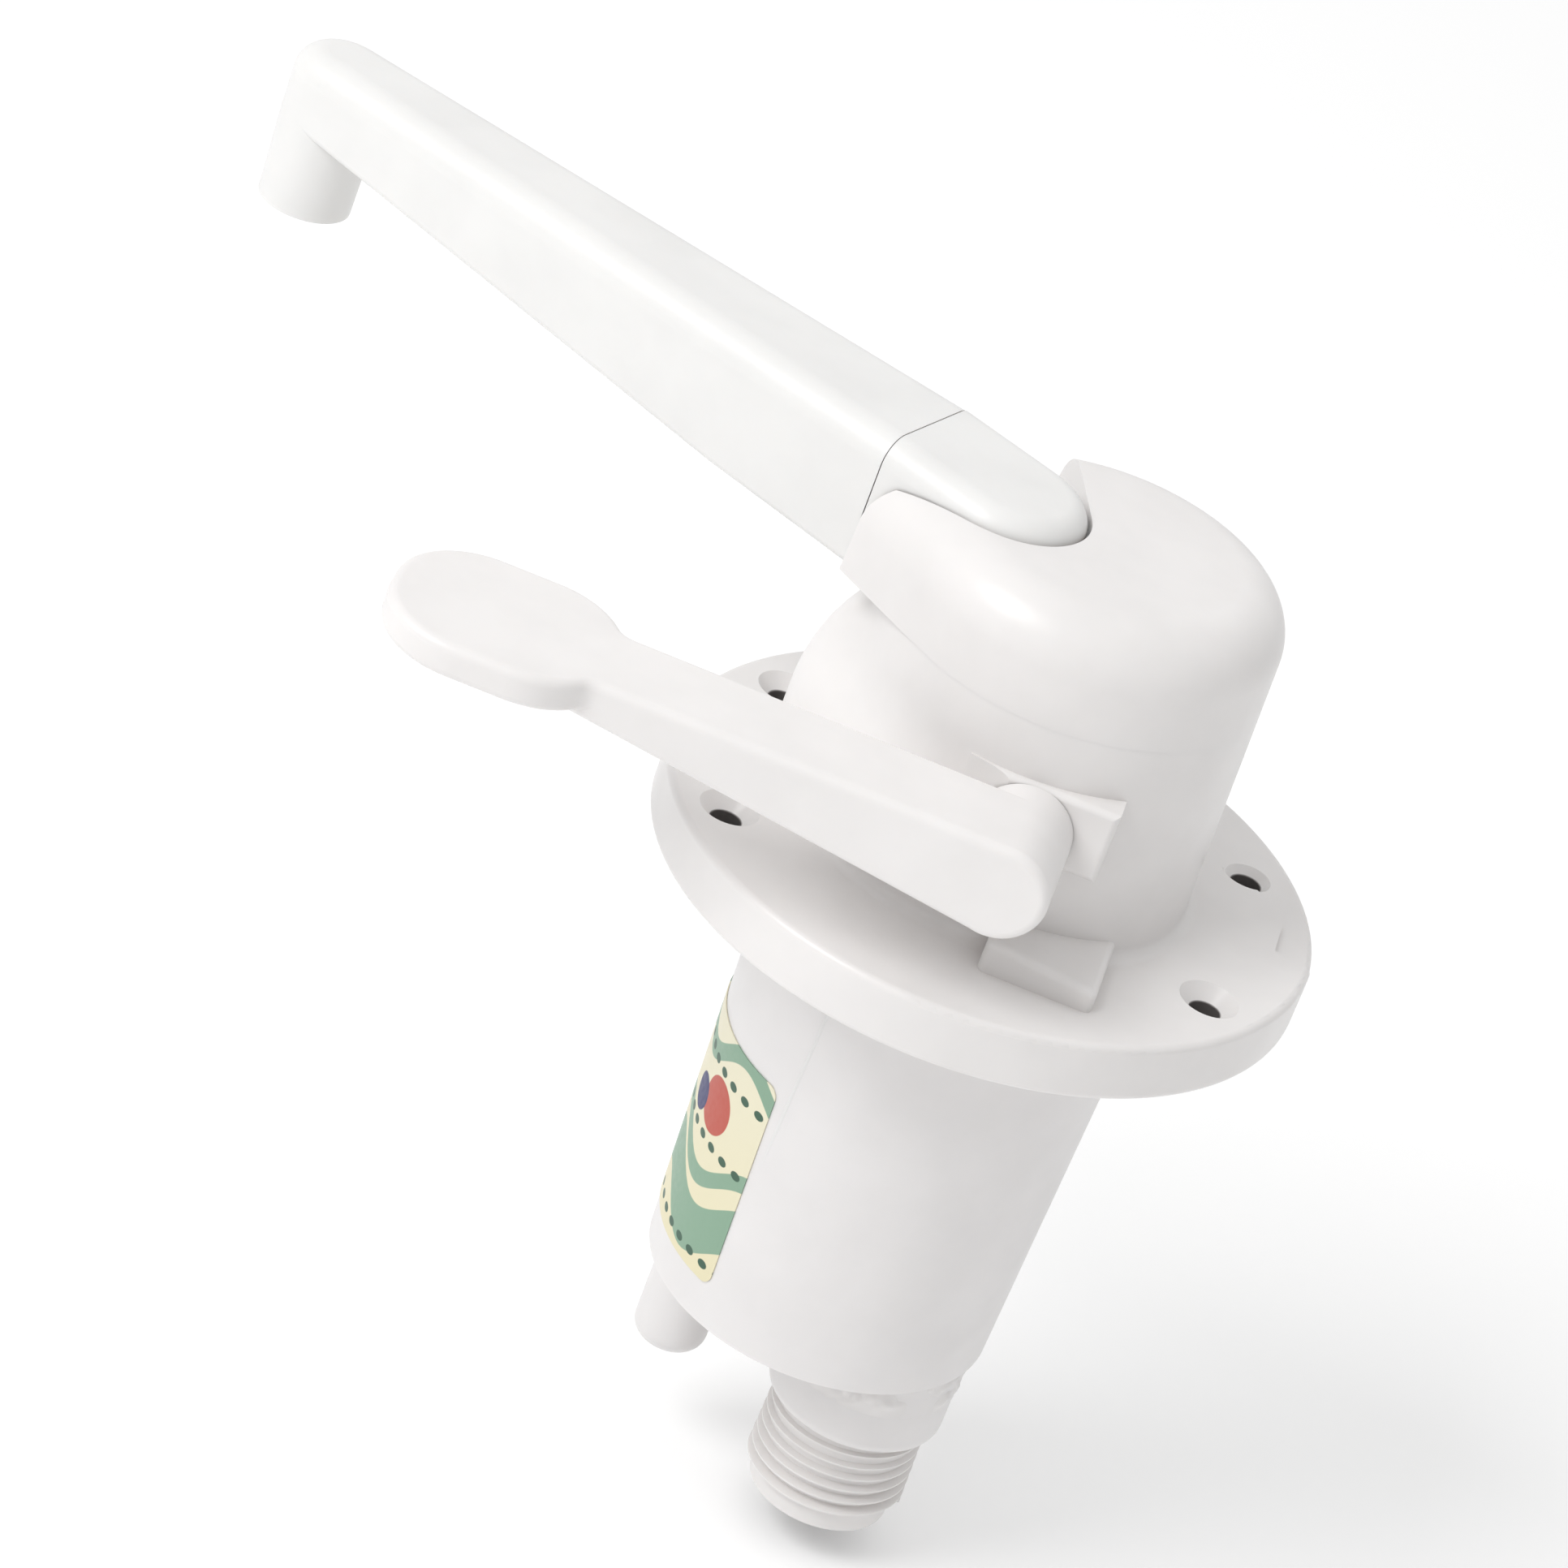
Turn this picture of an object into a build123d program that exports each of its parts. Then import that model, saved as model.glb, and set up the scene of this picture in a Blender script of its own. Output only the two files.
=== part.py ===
from build123d import *
from math import acos, atan2, cos, hypot, radians, sin, tan
import os

# Hand pump faucet for a galley sink. Millimetres, +Z up. The origin is the centre of the
# flange underside, on the axis of the round body. The hand lever and the nose face -X,
# and the lever lies on the -Y side.

# Deck flange
flange_radius = 40.5
flange_thickness = 7.6
flange_edge_round = 0.9
hole_edge_distance = 6.5
hole_half_angle = 28.0
hole_radius = 1.9
countersink_radius = 3.7
countersink_depth = 1.8

# Round upper body and hood
body_foot_radius = 24.0
body_draft = 1.1
body_rim_height = 47.6
foot_round = 1.5
hood_seam_height = 36.7
deck_drop = 0.8
crown_height = 50.4
hood_edge_round = 7.0

# Nose under the spout, a dome that dies into the round body
nose_overhang = 5.3
nose_radius = 10.6
nose_curve_drop = 18.7
nose_curve_radius = 26.0
nose_ledge = 0.15
nose_section_count = 7

# Crank chamber
chamber_wall = 4.0
chamber_floor = 9.0
chamber_ceiling = 31.2
rear_pocket_start = 1.5
rear_pocket_margin = 0.6
rear_pocket_top = 46.0

# Riser and swivel spout
swivel_x = -12.5
spout_azimuth = 157.2
spout_swing = 50.0
riser_radius = 6.5
riser_wall = 1.9
riser_floor = 10.5
riser_well_bottom = 4.0
riser_well_margin = 1.5
riser_port_half_width = 3.4
riser_port_top = 15.5
spigot_clearance = 0.08
spigot_bore = 4.6
spigot_bottom = 16.5
elbow_radius = 9.3
elbow_lift = 0.4
elbow_rear_top = 52.1
elbow_round = 3.2
slot_clearance = 0.35
seam_reach = 13.0
seam_gap = 0.15
cheek_azimuth = 228.0
cheek_reach = 17.2

# Spout arm, lengths from the swivel axis
arm_top = 53.3
arm_bend_reach = 34.7
arm_bend_rise = 1.0
arm_wall = 2.0
arm_top_round = 3.4
arm_low_round = 1.0
arm_inner_round = 1.2
nozzle_front = 109.2
nozzle_radius = 6.1
nozzle_rim_radius = 5.85
nozzle_length = 10.8
arm_end_depth = 9.7
nozzle_bore = 3.0
plug_length = 7.0
plug_inside = 3.0
plug_half_width = 7.6
plug_half_height = 6.2
plug_wall = 1.6
plug_corner = 3.0
plug_clearance = 0.05

# Lever shaft, crank and yoke
shaft_x = 2.5
shaft_height = 24.0
shaft_radius = 4.0
shaft_clearance = 0.05
shaft_socket_depth = 9.3
bush_wall = 1.9
bush_lip = 1.2
shaft_neck_radius = 3.2
crank_radius = 12.0
crank_rest_angle = 24.0
crank_thickness = 2.8
crank_inner_face = -5.2
crank_recess = 1.0
crank_hub_radius = 5.5
crank_end_radius = 3.2
crank_pin_radius = 2.0
lever_down_angle = 12.0
yoke_slot_play = 0.4
yoke_half_depth = 3.5
yoke_wall = 2.2
yoke_boss_radius = 4.2
yoke_boss_bottom = 22.0
yoke_boss_top = 28.0
yoke_cap = 1.0

# Boss plate, pedestal and shaft boss on the lever side
plate_stand_off = 0.2
plate_left = -1.0
plate_right = 12.4
plate_bottom = 20.7
plate_top = 30.0
plate_round = 0.8
shaft_hole_clearance = 0.15
pedestal_left = 3.5
pedestal_right = 17.5
pedestal_stand_off = 5.5
pedestal_left_top = 12.0
pedestal_right_top = 10.4
pedestal_round = 1.0
shaft_boss_end = -11.0
shaft_boss_wall = 1.9

# Hand lever
lever_gap = 0.15
lever_width = 13.2
lever_hub_radius = 5.9
lever_hub_length = 2.9
lever_neck_x = -44.5
lever_bar_end = -54.3
lever_edge_round = 1.1
paddle_start = -46.6
paddle_end = -73.9
paddle_near_step = 4.4
paddle_far_step = 5.9
paddle_bottom = 25.9
paddle_top = 30.2
paddle_corner = 10.3
paddle_shoulder = 2.6

# Shallow recess on the rear of the flange, its step given in shares of the flange radius
recess_depth = 0.8
recess_line = ((0.88, 0.012), (0.88, 0.158), (0.812, 0.284), (0.684, 0.380), (0.644, 0.363), (0.42, 0.617))
recess_reach = ((0.7, 1.0), (1.1, 1.1), (1.1, -0.04))

# Barrel and its base
barrel_length = 59.4
barrel_draft = 2.0
barrel_wall = 2.1
barrel_rebate = 1.0
barrel_spigot_depth = 7.0
base_thickness = 4.0
cylinder_x = 3.5
cylinder_margin = 11.5
cylinder_wall = 1.5
cylinder_top = 2.0
locating_ring_wall = 1.1
locating_ring_height = 3.0
fit_gap = 0.05

# Inlet
inlet_x = 9.4
collar_radius = 11.4
collar_length = 14.6
collar_wall = 1.9
collar_round = 1.6
inlet_bore = 7.2
thread_radius = 10.67
thread_pitch = 1.814
thread_depth = 1.2
thread_crest_flat = 0.24
thread_root_share = 0.42
thread_turns = 6.0
thread_end_gap = 0.6
thread_length = 14.0
thread_taper = 1.79
thread_sink = 0.15
fitting_plug_depth = 10.0

# Town water stub
stub_margin = 7.7
stub_azimuth = 159.3
stub_radius = 4.75
stub_length = 20.5
stub_end_round = 2.4
tube_radius = 3.4
tube_bore = 2.2
town_chamber_radius = 4.0
town_chamber_top = 8.2
town_seat_height = 2.0
town_seat_bore = 2.0
town_valve_radius = 3.3
town_valve_thickness = 1.2

# Suction valve
seat_height = 4.0
port_radius = 1.9
port_count = 6
suction_valve_margin = 4.1
suction_valve_thickness = 2.0
suction_stem_radius = 1.5
suction_stem_length = 3.6
stem_clearance = 0.1
sump_depth = 2.0
sump_margin = 1.7

# Piston
piston_rod_radius = 3.0
rod_end_chamfer = 0.4
rod_end_beyond_nut = 1.0
piston_top = -18.0
piston_height = 10.0
piston_margin = 0.9
piston_ring_clearance = 0.08
cup_height = 2.6
cup_depth = 1.9
cup_trough = 0.8
piston_port_radius = 1.5
piston_valve_margin = 3.7
piston_valve_thickness = 1.5
piston_valve_lift = 1.5
retainer_height = 2.4
retainer_radius = 4.6
nut_across_flats = 8.0
nut_height = 3.0
rod_guide_height = 3.0
guide_margin = 0.9
guide_opening_margin = 3.0
guide_port_margin = 1.2

# Seals, clip and screws
seal_thickness = 1.6
lower_seal_rise = 2.6
upper_seal_drop = 4.2
clip_thickness = 1.2
clip_height = 24.4
clip_outer_radius = 8.1
clip_groove_depth = 0.9
clip_mouth_share = 0.8
screw_radius = 1.5
screw_head_radius = 2.7
screw_slot_width = 0.7
screw_slot_depth = 0.5
screw_length = 7.0
screw_hole_depth = 9.0
lever_screw_recess = 0.6

# Label on the barrel front
label_top = -24.0
label_bottom = -54.0
label_half_angle = 57.0
label_thickness = 0.15
label_clearance = 0.02
label_corner = 1.5

# Sizes and places that follow from the ones above
hole_circle_radius = flange_radius - hole_edge_distance
body_rim_radius = body_foot_radius - body_draft
deck_height = hood_seam_height - deck_drop
nose_reach = body_foot_radius + nose_overhang
nose_centre_x = nose_radius - nose_reach
nose_curve_start = hood_seam_height - nose_curve_drop
chamber_radius = body_foot_radius - chamber_wall
rear_pocket_radius = chamber_radius - rear_pocket_margin
riser_outer = riser_radius + riser_wall
spigot_radius = riser_radius - spigot_clearance
elbow_bottom = deck_height + elbow_lift
arm_root_bottom = elbow_bottom
arm_bend_bottom = arm_root_bottom + arm_bend_rise
nozzle_throat_height = arm_top - arm_end_depth
spout_middle = (arm_root_bottom + arm_top) / 2
nozzle_bottom = nozzle_throat_height - nozzle_length
nozzle_x = nozzle_front - nozzle_radius
crank_pin_x = shaft_x + crank_radius * cos(radians(crank_rest_angle))
crank_pin_height = shaft_height + crank_radius * sin(radians(crank_rest_angle))
yoke_slot_half_height = crank_pin_radius + yoke_slot_play
bush_radius = shaft_radius + shaft_clearance + bush_wall
shaft_boss_radius = bush_radius + shaft_boss_wall
plate_front = -body_foot_radius - plate_stand_off
bush_start = plate_front + bush_lip
pedestal_front = -body_foot_radius - pedestal_stand_off
hub_back_face = plate_front - lever_gap
lever_back_face = hub_back_face - lever_hub_length
lever_front_face = lever_back_face - lever_width
lever_middle = (lever_front_face + lever_back_face) / 2
paddle_near = lever_front_face - paddle_near_step
paddle_far = lever_back_face + paddle_far_step
barrel_bottom_radius = body_foot_radius - barrel_draft
cylinder_radius = body_foot_radius - cylinder_margin
cylinder_outer = cylinder_radius + cylinder_wall
base_top = -barrel_length + base_thickness
collar_end = -barrel_length - collar_length
inlet_end = collar_end - thread_length
stub_x = (body_foot_radius - stub_margin) * cos(radians(stub_azimuth))
stub_y = (body_foot_radius - stub_margin) * sin(radians(stub_azimuth))
stub_end = -barrel_length - stub_length
seat_top = base_top + seat_height
town_seat_top = cylinder_top + town_seat_height
suction_valve_radius = cylinder_radius - suction_valve_margin
seat_port_circle = suction_valve_radius - 1.6 * port_radius
piston_radius = cylinder_radius - piston_margin
piston_bottom = piston_top - piston_height
piston_valve_radius = piston_radius - piston_valve_margin
piston_port_circle = piston_valve_radius - 1.6 * piston_port_radius
rod_hole_radius = piston_rod_radius + fit_gap / 2
rod_guide_radius = cylinder_radius - guide_margin
guide_opening_radius = cylinder_radius - guide_opening_margin
guide_port_circle = guide_opening_radius - port_radius - guide_port_margin


def column(radius, bottom, top, x=0.0, y=0.0):
    """A solid round column between two heights."""
    return Pos(x, y, bottom) * Cylinder(radius, top - bottom, align=(Align.CENTER, Align.CENTER, Align.MIN))


def taper(low_radius, high_radius, bottom, top, x=0.0, y=0.0):
    """A solid round column whose radius changes with height."""
    shape = Cone(low_radius, high_radius, top - bottom, align=(Align.CENTER, Align.CENTER, Align.MIN))
    return Pos(x, y, bottom) * shape


def block(x0, x1, y0, y1, z0, z1):
    """A rectangular block between two corners."""
    return Pos(x0, y0, z0) * Box(x1 - x0, y1 - y0, z1 - z0, align=(Align.MIN, Align.MIN, Align.MIN))


def side_slab(outline, y0, y1):
    """An outline drawn in X and Z, made solid from y0 to y1."""
    return extrude(Plane.XZ.offset(-y1) * outline, y1 - y0)


def cross_rod(radius, y0, y1, x=shaft_x, height=shaft_height):
    """A round rod along Y."""
    return side_slab(Pos(x, height) * Circle(radius), y0, y1)


def seal_ring(radius, thickness, x, y, height):
    """A round seal lying flat."""
    return Pos(x, y, height) * Torus(radius, thickness / 2)


def around(count, radius, x, y):
    """Centres spaced evenly on a circle."""
    step = 360 / count
    return [(x + radius * cos(radians(i * step)), y + radius * sin(radians(i * step))) for i in range(count)]


def body_radius_at(height):
    """Outer radius of the drafted upper body."""
    share = (height - flange_thickness) / (body_rim_height - flange_thickness)
    return body_foot_radius + (body_rim_radius - body_foot_radius) * share


def barrel_radius_at(height):
    """Outer radius of the drafted barrel."""
    return body_foot_radius + (body_foot_radius - barrel_bottom_radius) * height / barrel_length


def on_spout(shape):
    """Places a shape drawn along +X from the swivel axis in the spout's rest direction."""
    return Pos(swivel_x, 0, 0) * Rot(0, 0, spout_azimuth) * shape


def touch_point(point, centre, radius, side):
    """Where a line from a point touches a circle. The side, 1 or -1, tells its two tangents apart."""
    away_x = point[0] - centre[0]
    away_y = point[1] - centre[1]
    angle = atan2(away_y, away_x) + side * acos(radius / hypot(away_x, away_y))
    return (centre[0] + radius * cos(angle), centre[1] + radius * sin(angle))


def flange_holes():
    """Four countersunk screw holes, each as a cutting tool."""
    tools = []
    for middle in (0, 180):
        for side in (-1, 1):
            angle = radians(middle + side * hole_half_angle)
            x = hole_circle_radius * cos(angle)
            y = hole_circle_radius * sin(angle)
            sink_bottom = flange_thickness - countersink_depth
            tools.append(column(hole_radius, -flange_thickness, 2 * flange_thickness, x, y))
            tools.append(taper(hole_radius, countersink_radius, sink_bottom, flange_thickness, x, y))
    return tools


def flange_disc(thickness):
    disc = column(flange_radius, 0, thickness)
    rims = disc.edges().filter_by(GeomType.CIRCLE)
    return fillet(rims, flange_edge_round)


def recess_area():
    """Part of the flange behind the body that lies a little lower."""
    points = [(flange_radius * x, flange_radius * y) for x, y in recess_line + recess_reach]
    return extrude(make_face(Polyline(*points, close=True)), flange_thickness)


def nose_radius_at(height):
    """Radius of the nose, whose front leans back in one long arc towards the top."""
    rise = max(height - nose_curve_start, 0)
    return nose_radius - nose_curve_radius + (nose_curve_radius ** 2 - rise ** 2) ** 0.5


def nose_top():
    """Height at which the nose has all but died into the round body."""
    top = hood_seam_height
    for _ in range(nose_section_count):
        end_radius = body_radius_at(top) + nose_centre_x + nose_ledge
        drop = nose_radius - end_radius
        top = nose_curve_start + (nose_curve_radius ** 2 - (nose_curve_radius - drop) ** 2) ** 0.5
    return top


def wedge_outline(big, small, small_x):
    """Two circles on the X axis joined by their common tangents, seen from above."""
    lean = (small - big) / small_x
    spread = (1 - lean ** 2) ** 0.5
    far_big = (-big * lean, big * spread)
    near_big = (-big * lean, -big * spread)
    far_small = (small_x - small * lean, small * spread)
    near_small = (small_x - small * lean, -small * spread)
    with BuildSketch() as outline:
        with BuildLine():
            ThreePointArc(near_big, (big, 0), far_big)
            Line(far_big, far_small)
            ThreePointArc(far_small, (small_x - small, 0), near_small)
            Line(near_small, near_big)
        make_face()
    return outline.sketch


def lower_body():
    """Round body with the nose growing out of its front, from the flange up to the hood."""
    top = nose_top()
    heights = [flange_thickness]
    for step in range(nose_section_count + 1):
        heights.append(nose_curve_start + (top - nose_curve_start) * sin(radians(90 * step / nose_section_count)))
    sections = []
    for height in heights:
        outline = wedge_outline(body_radius_at(height), nose_radius_at(height), nose_centre_x)
        sections.append(Pos(0, 0, height) * outline)
    shape = loft(sections[:2], ruled=True)
    shape += loft(sections[1:])
    return shape + taper(body_radius_at(top), body_radius_at(hood_seam_height), top, hood_seam_height)


def boss_plate():
    """Flat plate round the lever shaft, running out into the round body on its left."""
    left = (plate_left, plate_front)
    run_out = touch_point(left, (0, 0), body_radius_at(plate_bottom), -1)
    outline = Polyline(run_out, left, (plate_right, plate_front), (plate_right, 0), (run_out[0], 0), close=True)
    plate = extrude(Pos(0, 0, plate_bottom) * make_face(outline), plate_top - plate_bottom)
    front = plate.faces().sort_by(Axis.Y)[0]
    return fillet(front.edges().sort_by(Axis.X)[1:], plate_round)


def pedestal():
    """Low sloping block on the flange under the lever's hub."""
    low = flange_thickness / 2
    outline = make_face(Polyline(
        (pedestal_left, low),
        (pedestal_right, low),
        (pedestal_right, pedestal_right_top),
        (pedestal_left, pedestal_left_top),
        close=True,
    ))
    back = pedestal_front / 2
    shape = side_slab(outline, pedestal_front, back)
    rims = [edge for edge in shape.edges() if edge.center().Z > low + 0.1 and edge.center().Y < back - 0.1]
    return fillet(rims, pedestal_round)


def barrel_groove():
    """Groove under the flange that takes the barrel's rim."""
    outer = column(barrel_radius_at(barrel_rebate) + fit_gap, 0, barrel_rebate)
    return outer - column(barrel_radius_at(0) - barrel_wall - fit_gap, 0, barrel_rebate)


def faucet_body():
    """Flange, round body, nose and the lever boss, moulded in one."""
    shape = flange_disc(flange_thickness) + lower_body()
    foot = [edge for edge in shape.edges() if on_body_foot(edge)]
    shape = fillet(foot, foot_round)
    shape -= recess_area()
    shape += flange_disc(flange_thickness - recess_depth) & recess_area()
    shape += boss_plate()
    shape += pedestal()
    top_inner = barrel_radius_at(0) - barrel_wall - fit_gap
    low_inner = barrel_radius_at(-barrel_spigot_depth) - barrel_wall - fit_gap
    shape += taper(low_inner, top_inner, -barrel_spigot_depth, 0)
    shape -= barrel_groove()
    shape -= seal_groove(top_inner)
    shape -= crank_chamber()
    shape += riser_column()
    shape += cross_rod(shaft_boss_radius, -chamber_radius - 1, shaft_boss_end)
    shape -= cross_rod(bush_radius, bush_start, shaft_boss_end + 1)
    shape -= cross_rod(shaft_radius + shaft_hole_clearance, plate_front - 1, bush_start + 1)
    shape -= riser_cuts()
    shape -= cylinder_socket()
    shape -= town_passage()
    shape -= fan_opening()
    for tool in flange_holes():
        shape -= tool
    return shape


def on_body_foot(edge):
    """Tells whether an edge lies on the flange, where the round body and its nose stand."""
    box = edge.bounding_box()
    flat = box.size.Z < fit_gap and abs(box.min.Z - flange_thickness) < fit_gap
    reach = max(hypot(point.X, point.Y) for point in (edge @ 0, edge @ 0.5, edge @ 1))
    return flat and reach < nose_reach + fit_gap


def seal_groove(radius):
    """Groove for the seal between the body's spigot and the barrel."""
    height = -barrel_spigot_depth / 2
    outer = column(radius + 1, height - seal_thickness / 2, height + seal_thickness / 2)
    inner = column(radius - seal_thickness - 4 * fit_gap, height - seal_thickness, height + seal_thickness)
    return outer - inner


def rear_pocket(top):
    """Room behind the shaft in which the yoke rises."""
    rear = block(rear_pocket_start, flange_radius, -flange_radius, flange_radius, 0, crown_height)
    return column(rear_pocket_radius, chamber_floor, top) & rear


def crank_chamber():
    return column(chamber_radius, chamber_floor, chamber_ceiling) + rear_pocket(hood_seam_height)


def riser_column():
    """Post that carries the swivel, standing in the front of the chamber."""
    return column(riser_outer, chamber_floor - 1, chamber_ceiling + 1, swivel_x)


def riser_cuts():
    """Bore of the riser, its side port low down, and the slot for the clip."""
    bore = column(riser_radius, riser_floor, crown_height, swivel_x)
    well = column(riser_radius - riser_well_margin, riser_well_bottom, riser_floor, swivel_x)
    side_end = swivel_x + riser_outer + 1
    port = block(swivel_x, side_end, -riser_port_half_width, riser_port_half_width, riser_floor, riser_port_top)
    slot_low = clip_height - clip_thickness / 2 - fit_gap
    slot_high = clip_height + clip_thickness / 2 + fit_gap
    slot = column(clip_outer_radius + fit_gap, slot_low, slot_high, swivel_x)
    mouth_half = clip_outer_radius * clip_mouth_share
    mouth = block(swivel_x, side_end, -mouth_half, mouth_half, slot_low, slot_high)
    return bore + well + port + slot + mouth


def cylinder_socket():
    """Socket for the pump cylinder, recess for the rod guide and the way up."""
    socket = column(cylinder_outer + fit_gap, -barrel_spigot_depth - 1, cylinder_top, cylinder_x)
    recess = column(rod_guide_radius + fit_gap, cylinder_top - 1, cylinder_top + rod_guide_height, cylinder_x)
    way_up = column(guide_opening_radius, cylinder_top, chamber_floor + 1, cylinder_x)
    return socket + recess + way_up


def town_passage():
    """Hole for the town water tube, the valve chamber above it and its outlet to the riser."""
    tube = column(tube_radius + fit_gap, -barrel_spigot_depth - 1, cylinder_top, stub_x, stub_y)
    chamber = column(town_chamber_radius, cylinder_top, town_chamber_top, stub_x, stub_y)
    return tube + chamber


def fan_plan(gap, length):
    """Area that the elbow sweeps between its two stops, seen from above."""
    near = spout_azimuth
    far = spout_azimuth - spout_swing
    area = Circle(elbow_radius + gap)
    for angle in (near, far):
        area += Rot(0, 0, angle) * Pos(length / 2, 0) * Rectangle(length, 2 * elbow_radius + 2 * gap)
    corners = [(0, 0)]
    for share in (0, 0.25, 0.5, 0.75, 1):
        angle = radians(near + (far - near) * share)
        corners.append((length * cos(angle), length * sin(angle)))
    area += make_face(Polyline(*corners, close=True))
    return Pos(swivel_x, 0) * area


def fan_opening():
    plan = Pos(0, 0, deck_height) * fan_plan(slot_clearance, flange_radius)
    return extrude(plan, crown_height)


def hood_plan():
    """Round cap with a straight cheek on each side of the spout, seen from above."""
    radius = body_radius_at(hood_seam_height)
    angle = radians(cheek_azimuth)
    start = (radius * cos(angle), radius * sin(angle))
    end = (start[0] + cheek_reach * sin(angle), start[1] - cheek_reach * cos(angle))
    near = radians(spout_azimuth + 90)
    aside = (end[0] - swivel_x) * cos(near) + end[1] * sin(near)
    far = (end[0] - 2 * aside * cos(near), end[1] - 2 * aside * sin(near))
    back = touch_point(far, (0, 0), radius, -1)
    return Circle(radius) + make_face(Polyline(start, end, far, back, (0, 0), close=True))


def hood():
    """Cap on the round body, with the fan-shaped opening for the elbow."""
    draft = atan2(body_foot_radius - body_rim_radius, body_rim_height - flange_thickness)
    plan = Pos(0, 0, hood_seam_height) * hood_plan()
    shape = extrude(plan, crown_height - hood_seam_height, taper=draft / radians(1))
    top = shape.faces().sort_by(Axis.Z)[-1]
    shape = fillet(top.edges(), hood_edge_round)
    shape -= fan_opening()
    return shape - rear_pocket(rear_pocket_top)


def barrel():
    """Outer casing under the flange, slightly tapered, its rim let into the flange."""
    low = barrel_radius_at(-barrel_length)
    high = barrel_radius_at(barrel_rebate)
    outer = taper(low, high, -barrel_length, barrel_rebate)
    return outer - taper(low - barrel_wall, high - barrel_wall, -barrel_length, barrel_rebate)


def inlet_collar():
    """Round collar under the barrel, with a rounded lower shoulder."""
    collar = column(collar_radius, collar_end, -barrel_length, inlet_x)
    shoulder = collar.edges().filter_by(GeomType.CIRCLE).sort_by(Axis.Z)[0]
    return fillet(shoulder, collar_round)


def barrel_base():
    """Floor of the barrel with the ring that locates the cylinder and the inlet collar."""
    low = barrel_bottom_radius - barrel_wall - fit_gap
    high = barrel_radius_at(base_top) - barrel_wall - fit_gap
    shape = taper(low, high, -barrel_length, base_top)
    ring_inner = cylinder_outer + fit_gap
    ring_top = base_top + locating_ring_height
    shape += column(ring_inner + locating_ring_wall, base_top, ring_top, cylinder_x)
    shape -= column(ring_inner, base_top, ring_top, cylinder_x)
    shape += inlet_collar()
    socket_radius = collar_radius - collar_wall
    shape -= column(socket_radius, collar_end, collar_end + fitting_plug_depth, inlet_x)
    shape -= column(inlet_bore, collar_end, base_top - sump_depth, inlet_x)
    shape -= column(cylinder_radius - sump_margin, base_top - sump_depth, base_top, cylinder_x)
    shape -= column(tube_radius + fit_gap, -barrel_length, base_top, stub_x, stub_y)
    return shape


def thread_ridge(root_radius):
    """Thread form with a narrow flat crest, wound up a gentle cone."""
    path = Helix(thread_pitch, thread_pitch * thread_turns, root_radius, cone_angle=-thread_taper)
    half_root = thread_pitch * thread_root_share
    half_crest = thread_crest_flat / 2
    section_plane = Plane(origin=path @ 0, x_dir=(1, 0, 0), z_dir=path % 0)
    section = section_plane * make_face(Polyline(
        (-thread_sink, -half_root),
        (thread_depth, -half_crest),
        (thread_depth, half_crest),
        (-thread_sink, half_root),
        close=True,
    ))
    return sweep(section, path=path, is_frenet=True)


def inlet_fitting():
    """Threaded nipple glued into the collar, with a tapered pipe thread."""
    root = thread_radius - thread_depth
    slope = tan(radians(thread_taper))
    shape = taper(root - thread_length * slope, root, inlet_end, collar_end, inlet_x)
    plug_top = collar_end + fitting_plug_depth - fit_gap
    shape += column(collar_radius - collar_wall - fit_gap, collar_end, plug_top, inlet_x)
    thread_span = thread_pitch * (thread_turns + thread_end_gap)
    ridge = thread_ridge(root - thread_span * slope)
    shape += Pos(inlet_x, 0, collar_end - thread_span) * ridge
    return shape - column(inlet_bore, inlet_end, plug_top, inlet_x)


def town_water_tube():
    """Stub under the barrel and the tube that rises from it through the barrel."""
    stub = column(stub_radius, stub_end, -barrel_length, stub_x, stub_y)
    end = stub.edges().filter_by(GeomType.CIRCLE).sort_by(Axis.Z)[0]
    stub = fillet(end, stub_end_round)
    tube = column(tube_radius, -barrel_length, cylinder_top, stub_x, stub_y)
    return stub + tube - column(tube_bore, stub_end, cylinder_top, stub_x, stub_y)


def town_valve_seat():
    ring = column(town_chamber_radius - fit_gap, cylinder_top, town_seat_top, stub_x, stub_y)
    return ring - column(town_seat_bore, cylinder_top, town_seat_top, stub_x, stub_y)


def town_valve():
    """Loose disc that shuts the town water seat."""
    return column(town_valve_radius, town_seat_top, town_seat_top + town_valve_thickness, stub_x, stub_y)


def pump_cylinder():
    tube = column(cylinder_outer, base_top, cylinder_top, cylinder_x)
    return tube - column(cylinder_radius, base_top, cylinder_top, cylinder_x)


def suction_valve_seat():
    """Ported plate in the foot of the cylinder."""
    plate = column(cylinder_radius - fit_gap, base_top, seat_top, cylinder_x)
    plate -= column(suction_stem_radius + stem_clearance, base_top, seat_top, cylinder_x)
    for x, y in around(port_count, seat_port_circle, cylinder_x, 0):
        plate -= column(port_radius, base_top, seat_top, x, y)
    return plate


def suction_valve():
    """Mushroom valve that lifts off the ported plate."""
    disc = column(suction_valve_radius, seat_top, seat_top + suction_valve_thickness, cylinder_x)
    return disc + column(suction_stem_radius, seat_top - suction_stem_length, seat_top, cylinder_x)


def piston():
    """Piston body with two grooves for the cups and ports through it."""
    shape = column(piston_radius, piston_bottom, piston_top, cylinder_x)
    for low in cup_places():
        outer = column(cylinder_radius, low - fit_gap, low + cup_height + fit_gap, cylinder_x)
        shape -= outer - column(piston_radius - cup_depth, low - 1, low + cup_height + 1, cylinder_x)
    shape -= column(piston_rod_radius + fit_gap, piston_bottom, piston_top, cylinder_x)
    for x, y in around(port_count, piston_port_circle, cylinder_x, 0):
        shape -= column(piston_port_radius, piston_bottom, piston_top, x, y)
    return shape


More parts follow.
